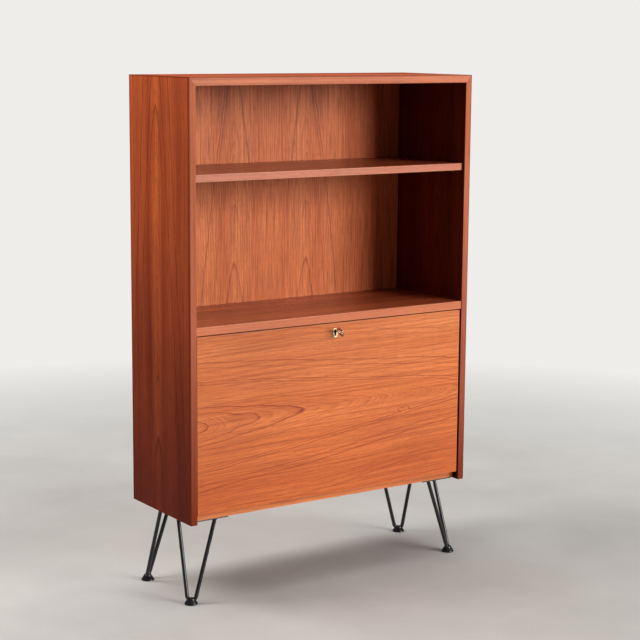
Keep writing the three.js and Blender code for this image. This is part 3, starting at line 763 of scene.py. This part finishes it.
def tube(mesh, points, radius, sides=24, closed=False):
    """A round tube along points."""
    count = len(points)
    rings = []
    normal = None
    for i, point in enumerate(points):
        before = points[i - 1] if closed or i else point
        after = points[(i + 1) % count] if closed or i < count - 1 else point
        direction = (after - before).normalized()
        if normal is None:
            normal = direction.orthogonal().normalized()
        normal = (normal - direction * normal.dot(direction)).normalized()
        side = direction.cross(normal)
        ring = [point + radius * (math.cos(t) * normal + math.sin(t) * side) for t in full_turn(sides)]
        rings.append([mesh.verts.new(corner) for corner in ring])
    pairs = list(zip(rings, rings[1:]))
    if closed:
        pairs.append((rings[-1], rings[0]))
    for low, high in pairs:
        join_rings(mesh, low, high, sides)
    if not closed:
        mesh.faces.new(rings[0])
        mesh.faces.new(rings[-1])


# ---------------------------------------------------------------- legs

BEND_STEPS = 20
BEAD_SINK = 0.0012
BEAD_PROFILE = [
    (0, 0.0015),
    (0.0073, 0.0013),
    (0.0075, 0.0005),
    (0.0069, -0.0008),
    (0.0058, -0.0024),
    (0.0049, -0.0042),
    (0, -0.0045),
]
GLIDE_PROFILE = [
    (0, 0),
    (0.0152, 0),
    (0.0162, 0.0004),
    (0.0169, 0.0014),
    (0.017, 0.0024),
    (0.0164, 0.0034),
    (0.0104, 0.0122),
    (0.0098, 0.0131),
    (0.0097, 0.0142),
    (0.009, 0.015),
    (0.0078, 0.0152),
    (0, 0.0152),
]


def hairpin_route(x_sign, y_sign):
    """Middle of the bent rod, from one end under the plate round the foot to the other."""
    spread = Vector((1, -1, 0)).normalized()
    axis = LEG_TOP - LEG_BEND
    height = axis.length
    axis.normalize()
    flare = math.acos(LEG_BEND_R / math.hypot(LEG_TOP_HALF, height)) - math.atan2(height, LEG_TOP_HALF)
    straight = (height + LEG_BEND_R * math.sin(flare)) / math.cos(flare)
    bend = []
    for i in range(BEND_STEPS + 1):
        angle = -flare - i * (math.pi - 2 * flare) / BEND_STEPS
        bend.append((LEG_BEND_R * math.cos(angle), LEG_BEND_R * math.sin(angle)))

    def end(side, start):
        return start[0] + side * straight * math.sin(flare), start[1] + straight * math.cos(flare)

    route = [end(1, bend[0]), *bend, end(-1, bend[-1])]
    points = [LEG_BEND + spread * a + axis * b for a, b in route]
    for start, last in ((points[1], points[0]), (points[-2], points[-1])):
        last += (last - start) * ((PLATE_Z - last.z) / (last.z - start.z))
    return [Vector((x_sign * p.x, y_sign * p.y + SHIFT_Y, p.z)) for p in points]


def facing_matrix(direction):
    """Turns +Z to a direction."""
    return Vector(direction).to_track_quat("Z", "Y").to_matrix().to_4x4()


def weld_bead(name, start, last):
    """The fillet of weld metal where the end of a rod meets its plate."""
    up = (last - start).normalized()
    mesh = bmesh.new()
    lathe(mesh, BEAD_PROFILE, Matrix.Translation(last - up * BEAD_SINK) @ facing_matrix(up), 28)
    piece_from(mesh, name, black_steel, "carcass")


def leg(corner, x_sign, y_sign):
    """One hairpin leg below its plate: the bent rod, two weld beads and a moulded glide."""
    route = hairpin_route(x_sign, y_sign)
    mesh = bmesh.new()
    tube(mesh, route, ROD_R)
    rod = piece_from(mesh, f"bent_rod_{corner}", black_steel, "carcass")
    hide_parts(f"hairpin_{corner}")
    weld_bead(f"weld_bead_{corner}_1", route[1], route[0])
    weld_bead(f"weld_bead_{corner}_2", route[-2], route[-1])
    mesh = bmesh.new()
    at = Matrix.Translation((x_sign * GLIDE_AT[0], y_sign * GLIDE_AT[1] + SHIFT_Y, 0))
    lathe(mesh, GLIDE_PROFILE, at, 48)
    foot = piece_from(mesh, f"glide_moulded_{corner}", black_plastic, "carcass")
    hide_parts(f"glide_{corner}")


for end_name, y_sign in (("front", -1), ("back", 1)):
    for half, x_sign in HALVES.items():
        leg(f"{end_name}_{half}", x_sign, y_sign)

# ---------------------------------------------------------------- screws

SCREW_SEAT = 0.0001  # keeps a head's foot out of the plane of the face it sits on
SCREW_SPIN = 2.4  # turn from one screw's slot to the next one's


def screw_head(name, radius, head, material):
    """Mesh of a slotted screw head, flat side on Z = 0 and domed towards +Z."""
    mesh = bmesh.new()
    profile = [
        (0, -0.0005),
        (radius, -0.0005),
        (radius, head * 0.35),
        (radius * 0.93, head * 0.66),
        (radius * 0.75, head * 0.88),
        (radius * 0.45, head),
        (0, head * 1.03),
    ]
    lathe(mesh, profile, sides=28)
    bmesh.ops.recalc_face_normals(mesh, faces=mesh.faces)
    blank = link(name + "_blank", mesh_data(mesh, name + "_blank"))
    bar = bmesh.new()
    bar_size = Matrix.Diagonal((radius * 2.4, radius * 0.24, head * 0.9, 1))
    bmesh.ops.create_cube(bar, size=1, matrix=Matrix.Translation((0, 0, head * 0.95)) @ bar_size)
    cutter = link(name + "_slot", mesh_data(bar, name + "_slot"))
    cut = blank.modifiers.new("slot", "BOOLEAN")
    cut.operation = "DIFFERENCE"
    cut.object = cutter
    made = evaluated_mesh(blank)
    made.name = name
    bpy.data.objects.remove(blank)
    bpy.data.objects.remove(cutter)
    return coated(made, material)


brass_screw = screw_head("screw_brass", 0.0029, 0.0007, brass)
plate_screw = screw_head("screw_plate", 0.0042, 0.0022, steel)
lock_screw = screw_head("screw_lock", 0.0026, 0.0006, brass)
screw_numbers = itertools.count(1)


def screw(data, at, facing, body):
    """Sets a screw head on a surface, with its slot at an angle of its own."""
    number = next(screw_numbers)
    spin = Matrix.Rotation(number * SCREW_SPIN, 4, "Z")
    placed(data, f"screw_{number:02d}", body, Matrix.Translation(at) @ facing_matrix(facing) @ spin)


def leg_plate_screws(x_sign, y_sign):
    """Three screws that hold a leg plate up to the carcass."""
    for a, b in PLATE_HOLES:
        x = x_sign * (PLATE_CORNER[0] - a)
        y = y_sign * (PLATE_CORNER[1] - b) + SHIFT_Y
        screw(plate_screw, (x, y, PLATE_Z - SCREW_SEAT), (0, 0, -1), "carcass")


def hinge_screws(half, sign):
    """Three screws in each leaf of a flap hinge."""
    low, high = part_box(f"hinge_leaf_bottom_{half}")
    for dx in HINGE_SCREWS_X:
        at = (sign * HINGE_X + dx, high.y - HINGE_SCREW_INSET, high.z - SCREW_SEAT)
        screw(brass_screw, at, (0, 0, 1), "carcass")
    low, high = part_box(f"hinge_leaf_flap_{half}")
    for dx in HINGE_SCREWS_X:
        at = (sign * HINGE_X + dx, FLAP_INNER_Y - SCREW_SEAT, high.z - HINGE_SCREW_INSET)
        screw(brass_screw, at, (0, 1, 0), "flap")


def stay_screws(half, sign):
    """Two screws in a stay's lug on the flap and two in its plate on the side."""
    low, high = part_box(f"stay_lug_{half}")
    middle = (low + high) / 2
    for dz in STAY_LUG_SCREWS_Z:
        screw(brass_screw, (sign * STAY_X, low.y + STAY_LUG_BASE, middle.z + dz), (0, 1, 0), "flap")
    low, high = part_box(f"stay_plate_{half}")
    middle = (low + high) / 2
    face = high.x if sign < 0 else low.x
    for dz in STAY_PLATE_SCREWS_Z:
        screw(brass_screw, (face, middle.y, middle.z + dz), (-sign, 0, 0), "carcass")


def lock_screws():
    """Four screws at the corners of the lock case and two in the strike plate."""
    low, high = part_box("lock_case")
    for x in (low.x + LOCK_SCREW_INSET, high.x - LOCK_SCREW_INSET):
        for z in (low.z + LOCK_SCREW_INSET, high.z - LOCK_SCREW_INSET):
            screw(lock_screw, (x, high.y - SCREW_SEAT, z), (0, 1, 0), "flap")
    low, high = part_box("strike_plate")
    for x in (low.x + STRIKE_SCREW_INSET, high.x - STRIKE_SCREW_INSET):
        screw(lock_screw, (x, (low.y + high.y) / 2, low.z + SCREW_SEAT), (0, 0, -1), "carcass")


for y_sign in (-1, 1):
    for x_sign in (-1, 1):
        leg_plate_screws(x_sign, y_sign)
for half, sign in HALVES.items():
    hinge_screws(half, sign)
    stay_screws(half, sign)
lock_screws()

# ---------------------------------------------------------------- key, escutcheon and knobs

SHANK_OVERLAP = 0.0004
SHANK_PROFILE = [
    (0, 0),
    (0.0021, 0),
    (0.0021, 0.0008),
    (0.0027, 0.0012),
    (0.0027, 0.002),
    (0.0019, 0.0024),
    (0.0024, 0.0031),
    (0.0024, 0.004),
    (0.0017, 0.0046),
    (0.0017, 0.0258),
    (0, 0.0258),
]
KNOB_PROFILE = [
    (0, 0),
    (0.005, 0),
    (0.0048, 0.0007),
    (0.0041, 0.0018),
    (0.0036, 0.003),
    (0.0034, 0.0045),
    (0.0035, 0.006),
    (0.0046, 0.0071),
    (0.0062, 0.0083),
    (0.007, 0.0097),
    (0.0072, 0.011),
    (0.0069, 0.0122),
    (0.006, 0.0132),
    (0.004, 0.0138),
    (0.002, 0.014),
    (0, 0.014),
]
OVAL_HALF = (0.0081, 0.0121)
OVAL_EDGE = 0.0004
OVAL_SHARP = math.radians(50)
OVAL_HALF_THICKNESS = 0.0003
OVAL_OUT = 0.001  # middle of the plate in front of the flap
KEYHOLE_SLOT_HALF = 0.003
KEYHOLE_FOOT = -0.0086
KEYHOLE_CENTRE = 0.0046
KEYHOLE_R = 0.0047
KEYHOLE_START = math.radians(-50)
KEYHOLE_TURN = math.radians(280)
KEYHOLE_STEPS = 24
# A dark disc behind the escutcheon, painted shade inside the keyhole.
SHADE_DISC_HALF = (0.0066, 0.0106)
SHADE_DISC_PROFILE = [(0, -0.001), (1, -0.001), (1, 0.0002), (0, 0.0002)]


def make_key():
    """The key as it stands in the lock: a ring bow, a turned shank and a bit."""
    stand = Matrix.Translation((0, 0, KEY_Z)) @ Matrix.Rotation(-KEY_TURN, 4, "Y")
    mesh = bmesh.new()
    ring = []
    for t in full_turn(48):
        ring.append(stand @ Vector((0, KEY_BOW_Y + KEY_BOW_R * math.cos(t), KEY_BOW_R * math.sin(t))))
    tube(mesh, ring, KEY_BOW_WIRE, 16, closed=True)
    shank_start = Matrix.Translation((0, KEY_BOW_Y + KEY_BOW_R - SHANK_OVERLAP, 0))
    lathe(mesh, SHANK_PROFILE, stand @ shank_start @ Matrix.Rotation(-math.pi / 2, 4, "X"), 24)
    bit = Matrix.Translation((0, KEY_BIT_Y, KEY_BIT_Z)) @ Matrix.Diagonal((*KEY_BIT_SIZE, 1))
    bmesh.ops.create_cube(mesh, size=1, matrix=stand @ bit)
    key = piece_from(mesh, "key_turned", nickel, "lock_key")
    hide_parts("key")


def curve_outline(data, points):
    """A closed outline of a flat curve."""
    spline = data.splines.new("POLY")
    spline.points.add(len(points) - 1)
    for point, (x, y) in zip(spline.points, points):
        point.co = (x, y, 0, 1)
    spline.use_cyclic_u = True


def keyhole_outline():
    """A round hole with a straight slot below it."""
    points = [(-KEYHOLE_SLOT_HALF, KEYHOLE_FOOT), (KEYHOLE_SLOT_HALF, KEYHOLE_FOOT)]
    for i in range(KEYHOLE_STEPS + 1):
        t = KEYHOLE_START + KEYHOLE_TURN * i / KEYHOLE_STEPS
        points.append((KEYHOLE_R * math.cos(t), KEYHOLE_CENTRE + KEYHOLE_R * math.sin(t)))
    return points


def make_escutcheon():
    """The oval plate with rounded edges and a keyhole, and a dark disc behind it, painted shade inside the
    keyhole.
    """
    plate = bpy.data.curves.new("escutcheon_outline", "CURVE")
    plate.dimensions = "2D"
    plate.fill_mode = "BOTH"
    plate.extrude = OVAL_HALF_THICKNESS
    plate.bevel_depth = OVAL_EDGE
    plate.bevel_resolution = 3
    curve_outline(plate, [(OVAL_HALF[0] * math.cos(t), OVAL_HALF[1] * math.sin(t)) for t in full_turn(64)])
    curve_outline(plate, keyhole_outline())
    blank = link("escutcheon_blank", plate)
    data = evaluated_mesh(blank)
    bpy.data.objects.remove(blank)
    data.transform(Matrix.Translation((0, FLAP_FRONT_Y - OVAL_OUT, ESCUTCHEON_Z)) @ UPRIGHT)
    oval = placed(coated(data, plated, OVAL_SHARP), "escutcheon_rounded", "flap")
    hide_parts("escutcheon")
    mesh = bmesh.new()
    at = Matrix.Translation((0, FLAP_FRONT_Y, ESCUTCHEON_Z)) @ UPRIGHT
    lathe(mesh, SHADE_DISC_PROFILE, at @ Matrix.Diagonal((*SHADE_DISC_HALF, 1, 1)), 48)
    piece_from(mesh, "keyhole_shade_disc", keyhole_shade, "flap")


def make_knob(half):
    """A turned knob on the front of a small drawer."""
    low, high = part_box(f"drawer_knob_{half}")
    at = Matrix.Translation(((low.x + high.x) / 2, high.y, (low.z + high.z) / 2))
    mesh = bmesh.new()
    lathe(mesh, KNOB_PROFILE, at @ UPRIGHT)
    knob = piece_from(mesh, f"knob_turned_{half}", brass, f"drawer_{half}")
    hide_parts(f"drawer_knob_{half}")


make_key()
make_escutcheon()
for half in HALVES:
    make_knob(half)

# ---------------------------------------------------------------- floor, light and camera

FLOOR_R = 9.0
FADE_OVER = 6.0
BACKDROP = (0.86, 0.85, 0.83, 1)
FILL = (1.0, 0.98, 0.95, 1)
FILL_POWER = 0.15
CAMERA_AT = (-2.3947, -3.6039, 1.3969)
YAW = math.radians(34.053)
PITCH = math.radians(9.563)
ROLL = math.radians(0.433)
LENS = 94.75
SENSOR = 36.0


def make_floor():
    """A plain pale floor that fades into the backdrop away from the desk."""
    mesh = bmesh.new()
    bmesh.ops.create_circle(mesh, cap_ends=True, segments=96, radius=FLOOR_R)
    floor = link("floor", mesh_data(mesh, "floor"))
    s = Shader("floor_pale")
    point = s.point()
    cloud = s.noise(point, scale=2.2, detail=4.0, roughness=0.6)
    speck = s.noise(point, scale=160.0, detail=2.0)
    colour = s.mix(s.ramp(cloud, (0.35, 0.0), (0.7, 1.0)), (0.405, 0.394, 0.38), (0.475, 0.463, 0.447))
    colour = s.mix(s.times(s.ramp(speck, (0.5, 0.0), (0.75, 1.0)), 0.2), colour, (0.33, 0.31, 0.29))
    near = s.surface(colour, 0.62, speck, depth=0.0003, strength=0.2)
    clear = s.node("ShaderNodeBsdfTransparent").outputs[0]
    away = s.node("ShaderNodeVectorMath", {0: point}, operation="LENGTH").outputs["Value"]
    fade = s.ramp(s.times(away, 1 / FADE_OVER), (0.16, 0.0), (0.5, 1.0))
    blend = s.node("ShaderNodeMixShader", {0: fade, 1: near, 2: clear})
    floor.data.materials.append(s.finish(blend.outputs[0]))


def area_light(name, at, target, size, power, tone):
    """A rectangular light that looks at a target. Only the window shows in reflections."""
    data = bpy.data.lights.new(name, "AREA")
    data.shape = "RECTANGLE"
    data.size, data.size_y = size
    data.energy = power
    data.color = tone
    light = link(name, data)
    light.location = at
    light.rotation_euler = (Vector(target) - Vector(at)).to_track_quat("-Z", "Y").to_euler()
    light.visible_glossy = name == "window"


def make_world():
    """A pale backdrop for the camera, and a weak even fill for everything else."""
    world = bpy.data.worlds.new("studio")
    world.use_nodes = True
    bpy.context.scene.world = world
    tree = world.node_tree
    tree.nodes.clear()
    seen = tree.nodes.new("ShaderNodeBackground")
    seen.inputs[0].default_value = BACKDROP
    seen.inputs[1].default_value = 1.0
    fill = tree.nodes.new("ShaderNodeBackground")
    fill.inputs[0].default_value = FILL
    fill.inputs[1].default_value = FILL_POWER
    path = tree.nodes.new("ShaderNodeLightPath")
    choose = tree.nodes.new("ShaderNodeMixShader")
    ending = tree.nodes.new("ShaderNodeOutputWorld")
    tree.links.new(path.outputs["Is Camera Ray"], choose.inputs[0])
    tree.links.new(fill.outputs[0], choose.inputs[1])
    tree.links.new(seen.outputs[0], choose.inputs[2])
    tree.links.new(choose.outputs[0], ending.inputs[0])


def make_camera():
    """The photograph's camera, solved from the desk's own straight edges."""
    ahead = Vector((math.sin(YAW) * math.cos(PITCH), math.cos(YAW) * math.cos(PITCH), -math.sin(PITCH)))
    level = Vector((math.cos(YAW), -math.sin(YAW), 0))
    upward = level.cross(ahead)
    right = math.cos(ROLL) * level + math.sin(ROLL) * upward
    top = math.cos(ROLL) * upward - math.sin(ROLL) * level
    data = bpy.data.cameras.new("camera")
    data.lens = LENS
    data.sensor_width = SENSOR
    camera = link("camera", data)
    turn = Matrix((right, top, -ahead)).transposed().to_4x4()
    camera.matrix_world = Matrix.Translation(CAMERA_AT) @ turn
    bpy.context.scene.camera = camera


make_floor()
area_light("window", (3.2, -5.6, 2.3), (0, 0, 0.65), size=(2.9, 2.7), power=490, tone=(1.0, 0.985, 0.96))
area_light("skylight", (-1.75, 0.8, 2.2), (-0.4, 0.1, 1.0), size=(1.1, 1.1), power=55, tone=(1.0, 0.98, 0.95))
area_light("ceiling", (0.2, 0.2, 3.6), (0, 0, 0.6), size=(3.0, 3.0), power=100, tone=(1.0, 0.99, 0.97))
make_world()
make_camera()
bpy.context.scene.view_settings.view_transform = "Standard"
